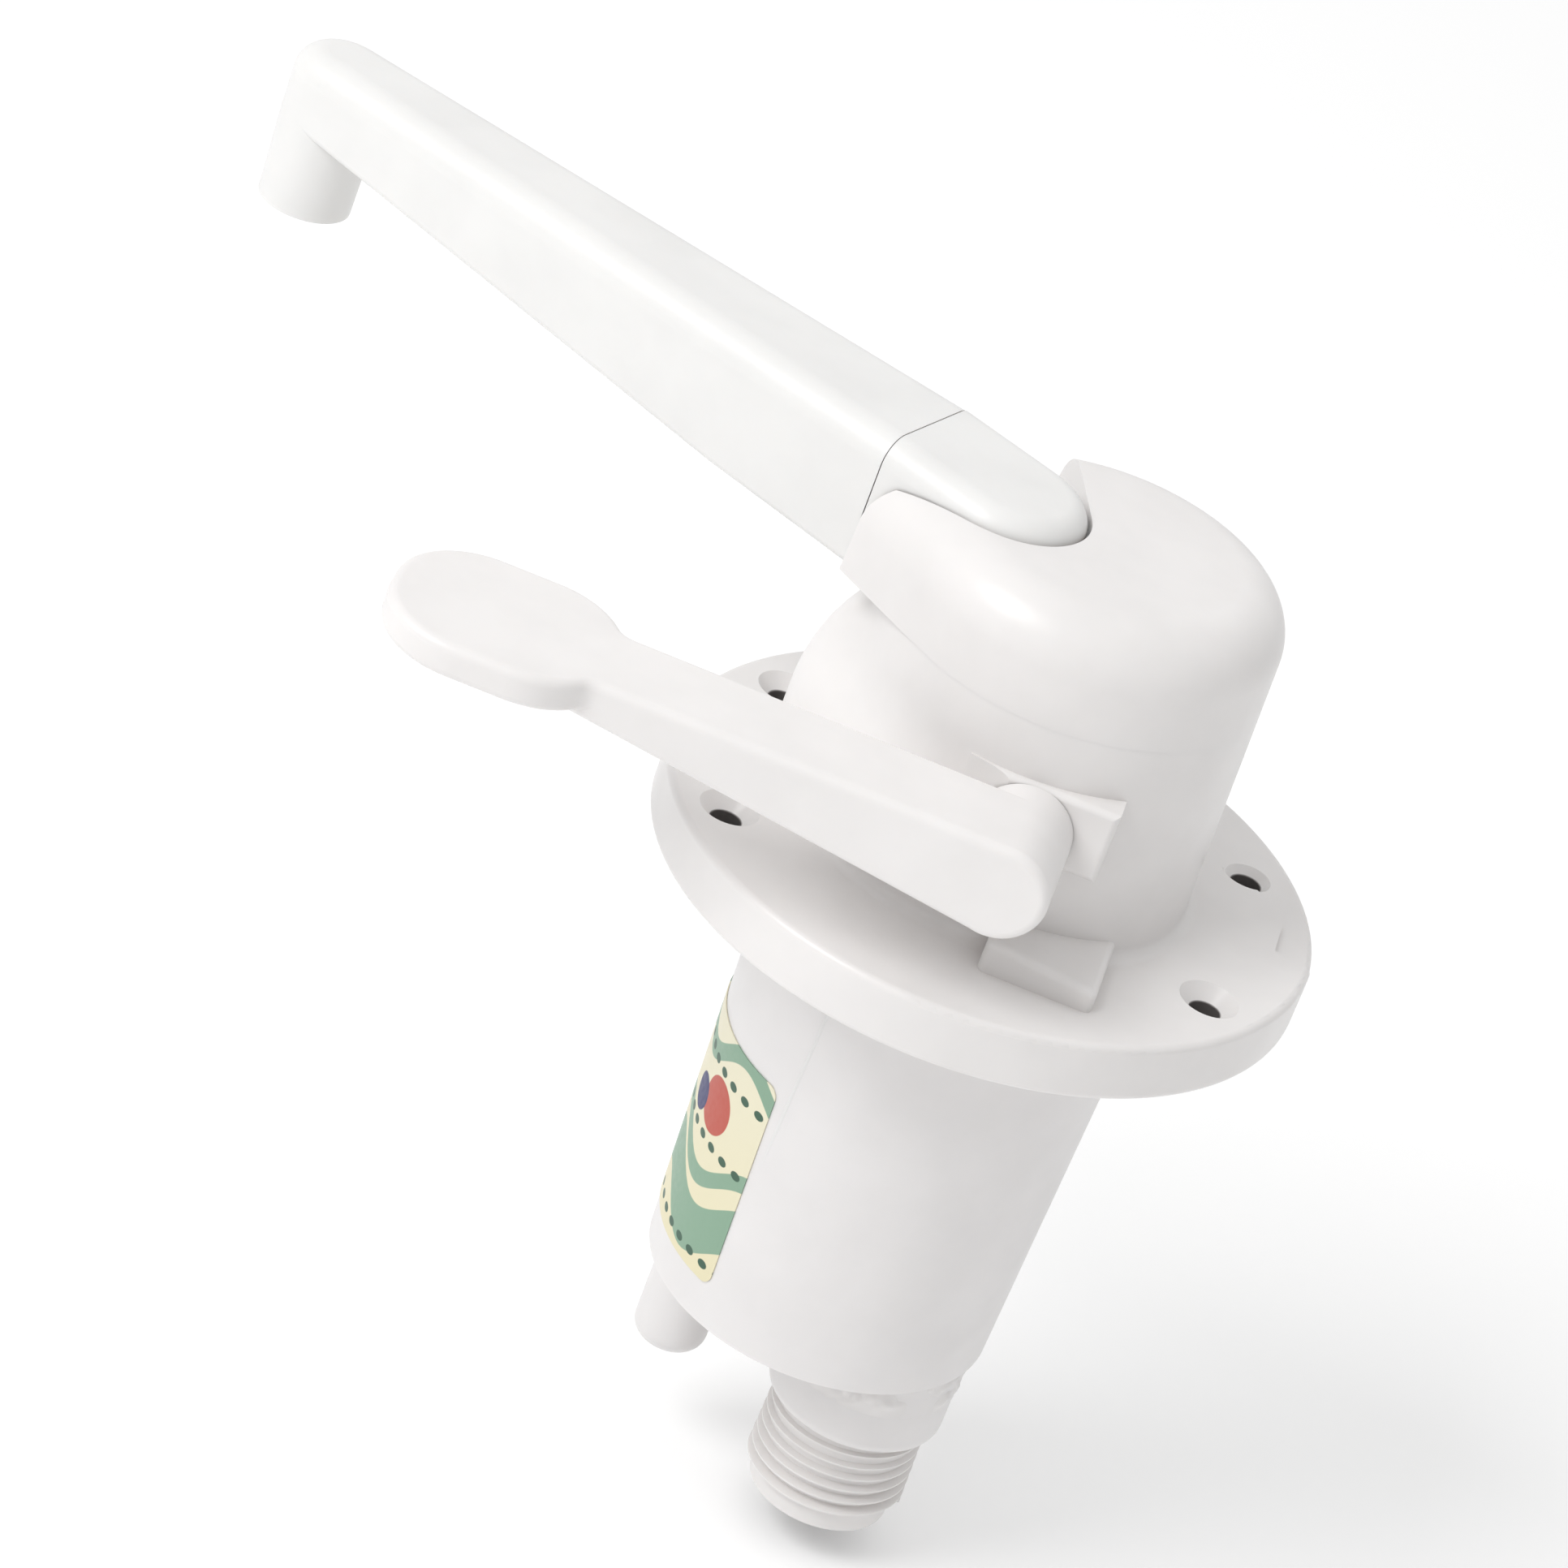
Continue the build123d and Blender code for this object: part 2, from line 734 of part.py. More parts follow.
def cup_places():
    """Lower face of each cup."""
    land = (piston_height - 2 * cup_height) / 3
    return (piston_bottom + land, piston_top - land - cup_height)


def piston_cup(low):
    """Lip seal in one of the grooves, with its lip facing up."""
    outer_radius = cylinder_radius - piston_ring_clearance
    inner_radius = piston_radius - cup_depth + fit_gap
    cup = column(outer_radius, low, low + cup_height, cylinder_x)
    cup -= column(inner_radius, low, low + cup_height, cylinder_x)
    middle = (outer_radius + inner_radius) / 2
    trough = column(middle + cup_trough / 2, low + cup_height / 2, low + cup_height, cylinder_x)
    trough -= column(middle - cup_trough / 2, low, low + cup_height, cylinder_x)
    return cup - trough


def lower_piston_cup():
    return piston_cup(min(cup_places()))


def upper_piston_cup():
    return piston_cup(max(cup_places()))


def piston_valve():
    """Rubber disc that covers the piston's ports and slides on the rod."""
    valve_top = piston_top + piston_valve_thickness
    disc = column(piston_valve_radius, piston_top, valve_top, cylinder_x)
    return disc - column(piston_rod_radius + stem_clearance, piston_top, valve_top, cylinder_x)


def piston_retainer():
    """Stop collar on the rod above the piston valve."""
    low = piston_top + piston_valve_thickness + piston_valve_lift
    ring = column(retainer_radius, low, low + retainer_height, cylinder_x)
    return ring - column(rod_hole_radius, low, low + retainer_height, cylinder_x)


def hex_nut(bottom):
    """Hexagon nut on the rod."""
    outline = RegularPolygon(nut_across_flats / 2, 6, major_radius=False)
    return extrude(Pos(cylinder_x, 0, bottom) * (outline - Circle(rod_hole_radius)), nut_height)


def piston_nut():
    return hex_nut(piston_bottom - nut_height)


def yoke_nut():
    return hex_nut(yoke_boss_bottom - nut_height)


def piston_rod():
    low = piston_bottom - nut_height - rod_end_beyond_nut
    rod = column(piston_rod_radius, low, yoke_boss_top - yoke_cap, cylinder_x)
    ends = rod.edges().filter_by(GeomType.CIRCLE)
    return chamfer(ends, rod_end_chamfer)


def rod_yoke():
    """Boss on the rod and the slotted block that the crank pin drives."""
    slot_half = yoke_slot_half_height
    far_reach = shaft_x + crank_radius
    near_reach = shaft_x + crank_radius * cos(radians(crank_rest_angle + lever_down_angle))
    slot_left = near_reach - crank_pin_radius - yoke_slot_play
    slot_right = far_reach + crank_pin_radius + yoke_slot_play
    low = crank_pin_height - slot_half - yoke_wall
    high = crank_pin_height + slot_half + yoke_wall
    frame = block(slot_left - yoke_wall, slot_right + yoke_wall / 2, -yoke_half_depth, yoke_half_depth, low, high)
    frame -= block(slot_left, slot_right, -yoke_half_depth, yoke_half_depth,
                   crank_pin_height - slot_half, crank_pin_height + slot_half)
    bridge = block(cylinder_x, slot_left - yoke_wall / 2, -yoke_half_depth, yoke_half_depth, low, yoke_boss_top)
    boss = column(yoke_boss_radius, yoke_boss_bottom, yoke_boss_top, cylinder_x)
    hole = column(rod_hole_radius, yoke_boss_bottom, yoke_boss_top - yoke_cap, cylinder_x)
    return frame + bridge + boss - hole


def rod_guide():
    """Ported plate at the head of the cylinder that steadies the rod."""
    top = cylinder_top + rod_guide_height - fit_gap
    plate = column(rod_guide_radius, cylinder_top, top, cylinder_x)
    plate -= column(piston_rod_radius + shaft_clearance, cylinder_top, top, cylinder_x)
    for x, y in around(port_count, guide_port_circle, cylinder_x, 0):
        plate -= column(port_radius, cylinder_top, top, x, y)
    return plate


def shaft_bush():
    bush = cross_rod(bush_radius - fit_gap, bush_start, shaft_boss_end)
    return bush - cross_rod(shaft_radius + shaft_clearance, bush_start, shaft_boss_end)


def seal_rings_on_shaft():
    """Middle of each shaft seal, measured along Y."""
    span = shaft_boss_end - bush_start
    return (bush_start + span / 4, shaft_boss_end - span / 4)


def lever_shaft():
    """Shaft from the lever to the crank, with two seal grooves and a narrower neck."""
    neck_start = crank_inner_face - crank_thickness
    shaft = cross_rod(shaft_radius, lever_back_face - shaft_socket_depth, neck_start)
    shaft += cross_rod(shaft_neck_radius, neck_start, crank_inner_face - crank_recess)
    half = seal_thickness / 2
    for middle in seal_rings_on_shaft():
        ring = cross_rod(shaft_radius + 1, middle - half, middle + half)
        shaft -= ring - cross_rod(shaft_radius - seal_thickness, middle - 2 * half, middle + 2 * half)
    return shaft - cross_rod(screw_radius, crank_inner_face - screw_hole_depth, crank_inner_face)


def shaft_seal(middle):
    ring = Torus(shaft_radius - seal_thickness / 2 - fit_gap / 2, seal_thickness / 2 - fit_gap)
    return Pos(shaft_x, middle, shaft_height) * Rot(90, 0, 0) * ring


def outer_shaft_seal():
    return shaft_seal(min(seal_rings_on_shaft()))


def inner_shaft_seal():
    return shaft_seal(max(seal_rings_on_shaft()))


def crank_arm():
    """Flat crank on the inner end of the shaft."""
    outline = Pos(shaft_x, shaft_height) * Circle(crank_hub_radius)
    outline += Pos(crank_pin_x, crank_pin_height) * Circle(crank_end_radius)
    web = Pos(crank_radius / 2, 0) * Rectangle(crank_radius, 2 * crank_end_radius)
    outline += Pos(shaft_x, shaft_height) * Rot(0, 0, crank_rest_angle) * web
    outer_face = crank_inner_face - crank_thickness
    recess_floor = crank_inner_face - crank_recess
    plate = side_slab(outline, outer_face, crank_inner_face)
    plate -= cross_rod(shaft_neck_radius + fit_gap / 2, outer_face, recess_floor)
    return plate - cross_rod(screw_head_radius + fit_gap, recess_floor, crank_inner_face)


def crank_pin():
    return cross_rod(crank_pin_radius, crank_inner_face, yoke_half_depth, crank_pin_x, crank_pin_height)


def crank_screw():
    """Screw that holds the crank on the shaft."""
    head_back = crank_inner_face - crank_recess
    head = cross_rod(screw_head_radius, head_back, crank_inner_face)
    shank = cross_rod(screw_radius - fit_gap / 2, head_back - screw_length, head_back)
    slot_half = screw_slot_width / 2
    slot = block(shaft_x - screw_head_radius, shaft_x + screw_head_radius,
                 crank_inner_face - screw_slot_depth, crank_inner_face,
                 shaft_height - slot_half, shaft_height + slot_half)
    return head + shank - slot


def lever():
    """Hand lever: a round hub, a bar that thins towards the neck and a flat paddle."""
    hub = Pos(shaft_x, shaft_height) * Circle(lever_hub_radius)
    bar = make_face(Polyline(
        (shaft_x, shaft_height + lever_hub_radius),
        (lever_neck_x, paddle_top),
        (lever_bar_end, paddle_top),
        (lever_bar_end, paddle_bottom),
        (shaft_x, shaft_height - lever_hub_radius),
        close=True,
    ))
    shape = side_slab(hub + bar, lever_front_face, lever_back_face)
    rims = shape.faces().filter_by(Axis.Y).edges()
    shape = fillet(rims, lever_edge_round) + paddle()
    shape += cross_rod(lever_hub_radius, lever_middle, hub_back_face)
    shape -= cross_rod(shaft_radius + fit_gap / 2, lever_back_face - shaft_socket_depth, hub_back_face)
    return shape - column(screw_radius, shaft_height - lever_hub_radius, shaft_height, shaft_x, lever_middle)


def paddle():
    """Thumb end of the lever, wider than the bar, with round corners and a curved neck."""
    length = paddle_start - paddle_end
    middle_x = (paddle_start + paddle_end) / 2
    middle_y = (paddle_near + paddle_far) / 2
    outline = Pos(middle_x, middle_y) * RectangleRounded(length, paddle_far - paddle_near, paddle_corner)
    tongue_length = lever_neck_x - middle_x
    tongue = Rectangle(tongue_length, lever_width, align=(Align.MIN, Align.MIN))
    outline += Pos(middle_x, lever_front_face) * tongue
    shoulders = []
    for vertex in outline.vertices():
        beside_bar = min(abs(vertex.Y - lever_front_face), abs(vertex.Y - lever_back_face)) < fit_gap
        if beside_bar and vertex.X < lever_neck_x - fit_gap:
            shoulders.append(vertex)
    outline = fillet(shoulders, paddle_shoulder)
    pad = extrude(Pos(0, 0, paddle_bottom) * outline, paddle_top - paddle_bottom)
    rims = pad.faces().filter_by(Axis.Z).edges()
    return fillet(rims, lever_edge_round)


def lever_screw():
    """Set screw up through the hub onto the shaft."""
    low = shaft_height - lever_hub_radius + lever_screw_recess
    return column(screw_radius - fit_gap / 2, low, shaft_height - shaft_radius, shaft_x, lever_middle)


def rounded_bar(half_width, low, high, x0, x1, corner):
    """A bar along X with rounded long edges."""
    outline = Plane.YZ.offset(x0) * Pos(0, (low + high) / 2) * RectangleRounded(2 * half_width, high - low, corner)
    return extrude(outline, x1 - x0)


def elbow_key():
    """Round key with a short stub in front of it, its top sloping down to the rear."""
    seam = seam_reach - seam_gap / 2
    plan = Circle(elbow_radius) + Pos(seam / 2, 0) * Rectangle(seam, 2 * elbow_radius)
    outline = make_face(Polyline(
        (-elbow_radius, elbow_bottom),
        (-elbow_radius, elbow_rear_top),
        (seam, arm_top),
        (seam, elbow_bottom),
        close=True,
    ))
    shape = extrude(Pos(0, 0, elbow_bottom) * plan, arm_top) & side_slab(outline, -elbow_radius, elbow_radius)
    top = shape.faces().sort_by(Axis.Z)[-1]
    rims = [edge for edge in top.edges() if edge.center().X < seam - fit_gap]
    return fillet(rims, elbow_round)


def spout_elbow():
    """Swivelling elbow: a round key in the hood, a spigot down into the riser, a plug for the arm."""
    low = spout_middle - plug_half_height
    high = spout_middle + plug_half_height
    plug_end = seam_reach + plug_length
    shape = elbow_key()
    shape += rounded_bar(plug_half_width, low, high, seam_reach - plug_inside, plug_end, plug_corner)
    shape += column(spigot_radius, spigot_bottom, elbow_bottom)
    shape -= column(spigot_bore, spigot_bottom, high - plug_wall)
    bore_half_width = plug_half_width - plug_wall
    bore_corner = plug_corner - plug_wall / 2
    shape -= rounded_bar(bore_half_width, low + plug_wall, high - plug_wall, 0, plug_end, bore_corner)
    for height in spigot_seal_heights():
        shape -= ring_groove(spigot_radius, seal_thickness, height, seal_thickness)
    shape -= ring_groove(spigot_radius, clip_thickness + 2 * fit_gap, clip_height, clip_groove_depth)
    return on_spout(shape)


def spigot_seal_heights():
    """Middle of each seal on the spigot."""
    return (spigot_bottom + lower_seal_rise, elbow_bottom - upper_seal_drop)


def ring_groove(radius, width, height, depth):
    """Ring cut from the outside of a column on the local Z axis."""
    outer = column(radius + 1, height - width / 2, height + width / 2)
    return outer - column(radius - depth, height - width, height + width)


def arm_section(reach, inset):
    """Section across the arm at a distance from the swivel, made smaller by an inset."""
    share = (reach - seam_reach) / (nozzle_x - seam_reach)
    half_width = elbow_radius + (nozzle_radius - elbow_radius) * share - inset
    if reach < arm_bend_reach:
        fall = (reach - seam_reach) / (arm_bend_reach - seam_reach)
        low = arm_root_bottom + (arm_bend_bottom - arm_root_bottom) * fall + inset
    else:
        fall = (reach - arm_bend_reach) / (nozzle_x - arm_bend_reach)
        low = arm_bend_bottom + (nozzle_throat_height - arm_bend_bottom) * fall + inset
    high = arm_top - inset
    face = Pos(0, (low + high) / 2) * Rectangle(2 * half_width, high - low)
    corners = face.vertices().sort_by(Axis.Y)
    top_round = arm_inner_round if inset else arm_top_round
    low_round = arm_inner_round if inset else arm_low_round
    face = fillet(corners[2:], top_round)
    corners = face.vertices().sort_by(Axis.Y)
    face = fillet(corners[:2], low_round)
    return Plane.YZ.offset(reach) * face


def arm_bar(inset):
    """Straight part of the arm from the seam to the nozzle's axis."""
    places = (seam_reach, arm_bend_reach, nozzle_x)
    return loft([arm_section(reach, inset) for reach in places], ruled=True)


def nozzle_post():
    """Round end of the arm, narrowing downwards to the outlet's rim."""
    post = column(nozzle_radius, nozzle_throat_height, arm_top, nozzle_x)
    rim = post.edges().filter_by(GeomType.CIRCLE).sort_by(Axis.Z)[-1]
    post = fillet(rim, arm_top_round)
    return post + taper(nozzle_rim_radius, nozzle_radius, nozzle_bottom, nozzle_throat_height, nozzle_x)


def spout_arm():
    """Long hollow arm that plugs onto the elbow and ends in a nozzle facing down."""
    shape = arm_bar(0) + nozzle_post()
    shape -= arm_bar(arm_wall)
    inside_low = nozzle_throat_height + arm_wall
    shape -= column(nozzle_radius - arm_wall, inside_low, arm_top - arm_wall, nozzle_x)
    shape -= column(nozzle_bore, nozzle_bottom, inside_low, nozzle_x)
    half_width = plug_half_width + plug_clearance
    low = spout_middle - plug_half_height - plug_clearance
    high = spout_middle + plug_half_height + plug_clearance
    socket_end = seam_reach + plug_length + plug_clearance
    shape -= rounded_bar(half_width, low, high, 0, socket_end, plug_corner)
    shape -= block(0, seam_reach + seam_gap / 2, -elbow_radius, elbow_radius, 0, arm_top)
    return on_spout(shape)


def spout_seal(height):
    ring = Torus(spigot_radius - seal_thickness / 2, seal_thickness / 2 - fit_gap)
    return Pos(swivel_x, 0, height) * ring


def lower_spout_seal():
    return spout_seal(min(spigot_seal_heights()))


def upper_spout_seal():
    return spout_seal(max(spigot_seal_heights()))


def spout_clip():
    """Open spring clip through the riser wall into the spigot's groove."""
    low = clip_height - clip_thickness / 2
    high = clip_height + clip_thickness / 2
    inner = spigot_radius - clip_groove_depth + 4 * fit_gap
    mouth_half = inner * clip_mouth_share
    ring = column(clip_outer_radius, low, high) - column(inner, low, high)
    ring -= block(0, clip_outer_radius, -mouth_half, mouth_half, low, high)
    return Pos(swivel_x, 0, 0) * ring


def barrel_seal():
    """Seal between the body's spigot and the barrel."""
    height = -barrel_spigot_depth / 2
    radius = barrel_radius_at(height) - barrel_wall - fit_gap - seal_thickness / 2
    return seal_ring(radius, seal_thickness - 2 * fit_gap, 0, 0, height)


def front_label():
    """Thin printed label wrapped round the front of the barrel, with round corners."""
    low = barrel_radius_at(label_bottom) + label_clearance
    high = barrel_radius_at(label_top) + label_clearance
    shell = taper(low + label_thickness, high + label_thickness, label_bottom, label_top)
    shell -= taper(low, high, label_bottom, label_top)
    corners = [(0, 0)]
    for share in (-1, -0.5, 0, 0.5, 1):
        angle = radians(180 + label_half_angle * share)
        corners.append((2 * flange_radius * cos(angle), 2 * flange_radius * sin(angle)))
    wedge = extrude(Pos(0, 0, label_bottom) * make_face(Polyline(*corners, close=True)), label_top - label_bottom)
    label = shell & wedge
    short_edges = [edge for edge in label.edges() if edge.length < 2 * label_thickness]
    return fillet(short_edges, label_corner)


PARTS = {
    "faucet_body": faucet_body,
    "hood": hood,
    "barrel": barrel,
    "barrel_base": barrel_base,
    "barrel_seal": barrel_seal,
    "inlet_fitting": inlet_fitting,
    "town_water_tube": town_water_tube,
    "town_valve_seat": town_valve_seat,
    "town_valve": town_valve,
    "pump_cylinder": pump_cylinder,
    "suction_valve_seat": suction_valve_seat,
    "suction_valve": suction_valve,
    "piston": piston,
    "lower_piston_cup": lower_piston_cup,
    "upper_piston_cup": upper_piston_cup,
    "piston_valve": piston_valve,
    "piston_retainer": piston_retainer,
    "piston_nut": piston_nut,
    "piston_rod": piston_rod,
    "yoke_nut": yoke_nut,
    "rod_yoke": rod_yoke,
    "rod_guide": rod_guide,
    "crank_arm": crank_arm,
    "crank_pin": crank_pin,
    "crank_screw": crank_screw,
    "lever_shaft": lever_shaft,
    "shaft_bush": shaft_bush,
    "outer_shaft_seal": outer_shaft_seal,
    "inner_shaft_seal": inner_shaft_seal,
    "hand_lever": lever,
    "lever_screw": lever_screw,
    "spout_elbow": spout_elbow,
    "spout_arm": spout_arm,
    "lower_spout_seal": lower_spout_seal,
    "upper_spout_seal": upper_spout_seal,
    "spout_clip": spout_clip,
    "front_label": front_label,
}

os.makedirs("parts", exist_ok=True)
for name, make in PARTS.items():
    export_step(make(), f"parts/{name}.step")
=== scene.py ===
import math

import bpy
from mathutils import Matrix, Vector, noise


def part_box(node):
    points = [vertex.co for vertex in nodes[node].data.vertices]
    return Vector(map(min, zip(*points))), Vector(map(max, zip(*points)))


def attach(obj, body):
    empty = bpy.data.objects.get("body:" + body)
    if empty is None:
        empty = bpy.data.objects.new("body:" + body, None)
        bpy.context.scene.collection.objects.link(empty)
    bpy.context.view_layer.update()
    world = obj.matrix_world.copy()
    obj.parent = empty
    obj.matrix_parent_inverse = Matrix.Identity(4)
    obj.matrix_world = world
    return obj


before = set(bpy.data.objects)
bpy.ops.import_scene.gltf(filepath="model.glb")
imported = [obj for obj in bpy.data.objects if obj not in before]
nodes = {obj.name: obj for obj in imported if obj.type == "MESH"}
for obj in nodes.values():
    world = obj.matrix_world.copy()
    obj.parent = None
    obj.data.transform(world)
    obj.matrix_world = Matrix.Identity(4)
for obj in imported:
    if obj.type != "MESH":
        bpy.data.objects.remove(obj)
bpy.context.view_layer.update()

MM = 0.001

# The photograph's camera: a long lens held 30 degrees above the deck and rolled to the right
CAMERA_PLACE = Vector((0.0, -0.67003, 0.3862))
CAMERA_FORWARD = Vector((-0.0333, 0.8682, -0.4951))
CAMERA_UP = Vector((-0.3709, 0.4493, 0.8128))
LENS = 149.07

# Light and floor
KEY_PLACE = (-0.85, -0.70, 1.05)
KEY_TARGET = (0.0, 0.0, 0.0)
KEY_SIZE = 0.8
KEY_POWER = 11.0
HORIZON_LIGHT = 0.2
ZENITH_LIGHT = 1.0
FLOOR_HALF_SIZE = 6.0
FLOOR_DROP = 6 * MM
FLOOR_GLOW = 0.115

# Places and sizes taken from the frame
LABEL_LOW, LABEL_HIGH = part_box("front_label")
LABEL_MIDDLE = (LABEL_LOW[2] + LABEL_HIGH[2]) / 2
LABEL_RADIUS = -LABEL_LOW[0]
INLET_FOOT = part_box("inlet_fitting")[0][2]

# Places and sizes of the solids that the frame's boxes don't give; the holes in millimetres
BARREL_FOOT = -59.4 * MM
BARREL_TOP_RADIUS = 24.0 * MM
BARREL_SLOPE = 2.0 / 59.4
COLLAR_X = 9.4 * MM
COLLAR_RADIUS = 11.4 * MM
HOLE_CENTRE = (30.02, 15.962)
HOLE_SHADE_RADIUS = 2.0

# Colours, linear
WHITE_BODY = (0.815, 0.795, 0.785)
WHITE_ARM = (0.825, 0.820, 0.808)
WHITE_BARREL = (0.800, 0.782, 0.777)
WHITE_LEVER = (0.835, 0.815, 0.805)
WHITE_THREAD = (0.800, 0.780, 0.770)
GREY_INNER = (0.26, 0.27, 0.28)
STEEL = (0.63, 0.62, 0.60)
RUBBER_DARK = (0.022, 0.022, 0.023)
RUBBER_PALE = (0.045, 0.045, 0.045)
FLOOR_PALE = (0.97, 0.97, 0.97)
FLOOR_SHADE = (0.955, 0.955, 0.955)
# Painted shade colours: warm shade for crevices, near black shade for slits and screw holes
SHADE_WARM = (0.62, 0.585, 0.565)
SLIT_SHADE = (0.035, 0.028, 0.026)
CREAM = (0.76, 0.70, 0.47)
CREAM_PALE = (0.80, 0.76, 0.58)
SAGE = (0.235, 0.38, 0.27)
DEEP_GREEN = (0.035, 0.10, 0.06)
BRICK_RED = (0.50, 0.085, 0.055)
NAVY = (0.018, 0.022, 0.12)

# Print of the label, in millimetres round the barrel and up from the label's middle
PRINT_BLUR = 0.06
LABEL_HALF_HEIGHT = 15.0
WAVES = ((-8.2, 0.0, 3.4), (-1.6, 0.5, 1.2), (12.6, 2.6, 1.3))
WAVE_TURN = 0.30
WAVE_HEIGHT = 2.4
SUNS = (((13.6, 5.6), 3.7, BRICK_RED), ((8.6, 4.2), 2.4, NAVY))
LEAF_ROWS = ((10.2, 0.0), (-13.0, 1.2), (0.8, 2.1))
LEAF_STEP = 2.9
LEAF_SQUASH = 1.5
LEAF_RADIUS = 0.85

# Parting line on the barrel: bearings in degrees, the rest in millimetres
LINE_STEPS = 24
LINE_BEARING = 245.0
LINE_DRIFT = 5.0
LINE_TOP = 0.6
LINE_LENGTH = 33.5
LINE_RISE = 0.13
LINE_SINK = 0.05
LINE_HALF_WIDTH = 0.26

# Cement on the collar
CEMENT_AROUND = 160
CEMENT_ROWS = 22
CEMENT_REACH = 8.5 * MM
CEMENT_LOWEST = -0.08
CEMENT_HIGHEST = 0.5

# Nodes that share a material
GREY_NODES = [
    "shaft_bush", "rod_guide", "suction_valve_seat", "town_valve_seat", "piston", "pump_cylinder",
    "rod_yoke", "piston_retainer",
]
RUBBER_NODES = [
    "barrel_seal", "outer_shaft_seal", "inner_shaft_seal", "lower_spout_seal", "upper_spout_seal",
    "lower_piston_cup", "upper_piston_cup", "piston_valve", "suction_valve", "town_valve",
]
METAL_NODES = [
    "piston_rod", "piston_nut", "yoke_nut", "crank_arm", "crank_pin", "crank_screw", "lever_shaft",
    "lever_screw", "spout_clip",
]


def new_material(name):
    """A material with only an output and a principled shader."""
    material = bpy.data.materials.new(name)
    material.use_nodes = True
    tree = material.node_tree
    tree.nodes.clear()
    output = tree.nodes.new("ShaderNodeOutputMaterial")
    shader = tree.nodes.new("ShaderNodeBsdfPrincipled")
    tree.links.new(shader.outputs["BSDF"], output.inputs["Surface"])
    return material, tree, shader


def object_coordinates(tree):
    return tree.nodes.new("ShaderNodeTexCoord").outputs["Object"]


def split_axes(tree, vector):
    split = tree.nodes.new("ShaderNodeSeparateXYZ")
    tree.links.new(vector, split.inputs[0])
    return split.outputs


def noise_node(tree, coordinates, scale, detail=3.0):
    node = tree.nodes.new("ShaderNodeTexNoise")
    node.inputs["Scale"].default_value = scale
    node.inputs["Detail"].default_value = detail
    node.inputs["Roughness"].default_value = 0.5
    tree.links.new(coordinates, node.inputs["Vector"])
    return node.outputs["Fac"]


def mapped(tree, value, low, high, to_low, to_high):
    """Carries a value from one range into another and holds it there."""
    node = tree.nodes.new("ShaderNodeMapRange")
    node.inputs["From Min"].default_value = low
    node.inputs["From Max"].default_value = high
    node.inputs["To Min"].default_value = to_low
    node.inputs["To Max"].default_value = to_high
    tree.links.new(value, node.inputs["Value"])
    return node.outputs["Result"]


def mixed(tree, factor, first, second):
    """Mixes two colours; each may be a socket or a plain colour."""
    node = tree.nodes.new("ShaderNodeMix")
    node.data_type = "RGBA"
    tree.links.new(factor, node.inputs[0])
    for socket, colour in ((node.inputs[6], first), (node.inputs[7], second)):
        if isinstance(colour, bpy.types.NodeSocket):
            tree.links.new(colour, socket)
        else:
            socket.default_value = (*colour, 1.0)
    return node.outputs[2]


def bump(tree, shader, height, strength, distance):
    node = tree.nodes.new("ShaderNodeBump")
    node.inputs["Strength"].default_value = strength
    node.inputs["Distance"].default_value = distance
    tree.links.new(height, node.inputs["Height"])
    tree.links.new(node.outputs["Normal"], shader.inputs["Normal"])


def math_node(tree, operation, first, second=0.0):
    """One arithmetic step; each side may be a socket or a number."""
    node = tree.nodes.new("ShaderNodeMath")
    node.operation = operation
    for socket, value in zip(node.inputs, (first, second)):
        if isinstance(value, bpy.types.NodeSocket):
            tree.links.new(value, socket)
        else:
            socket.default_value = value
    return node.outputs["Value"]


def product(tree, first, second):
    return math_node(tree, "MULTIPLY", first, second)


def difference(tree, first, second):
    return math_node(tree, "SUBTRACT", first, second)


def inside(tree, distance, reach):
    """1 where a distance is under the reach, with a fine soft edge."""
    return mapped(tree, distance, reach - PRINT_BLUR, reach + PRINT_BLUR, 1.0, 0.0)


def disc(tree, across, up, centre, radius):
    """1 inside a circle round the centre."""
    side = difference(tree, across, centre[0])
    rise = difference(tree, up, centre[1])
    square = math_node(tree, "ADD", product(tree, side, side), product(tree, rise, rise))
    return inside(tree, math_node(tree, "SQRT", square), radius)


def paint_bore_shade(tree, place, colour):
    """Paints shade on the walls of the four screw holes, which the light hardly reaches."""
    axes = split_axes(tree, place)
    across = product(tree, math_node(tree, "ABSOLUTE", axes[0]), 1 / MM)
    along = product(tree, math_node(tree, "ABSOLUTE", axes[1]), 1 / MM)
    hole = disc(tree, across, along, HOLE_CENTRE, HOLE_SHADE_RADIUS)
    return mixed(tree, product(tree, hole, 0.9), colour, SLIT_SHADE)


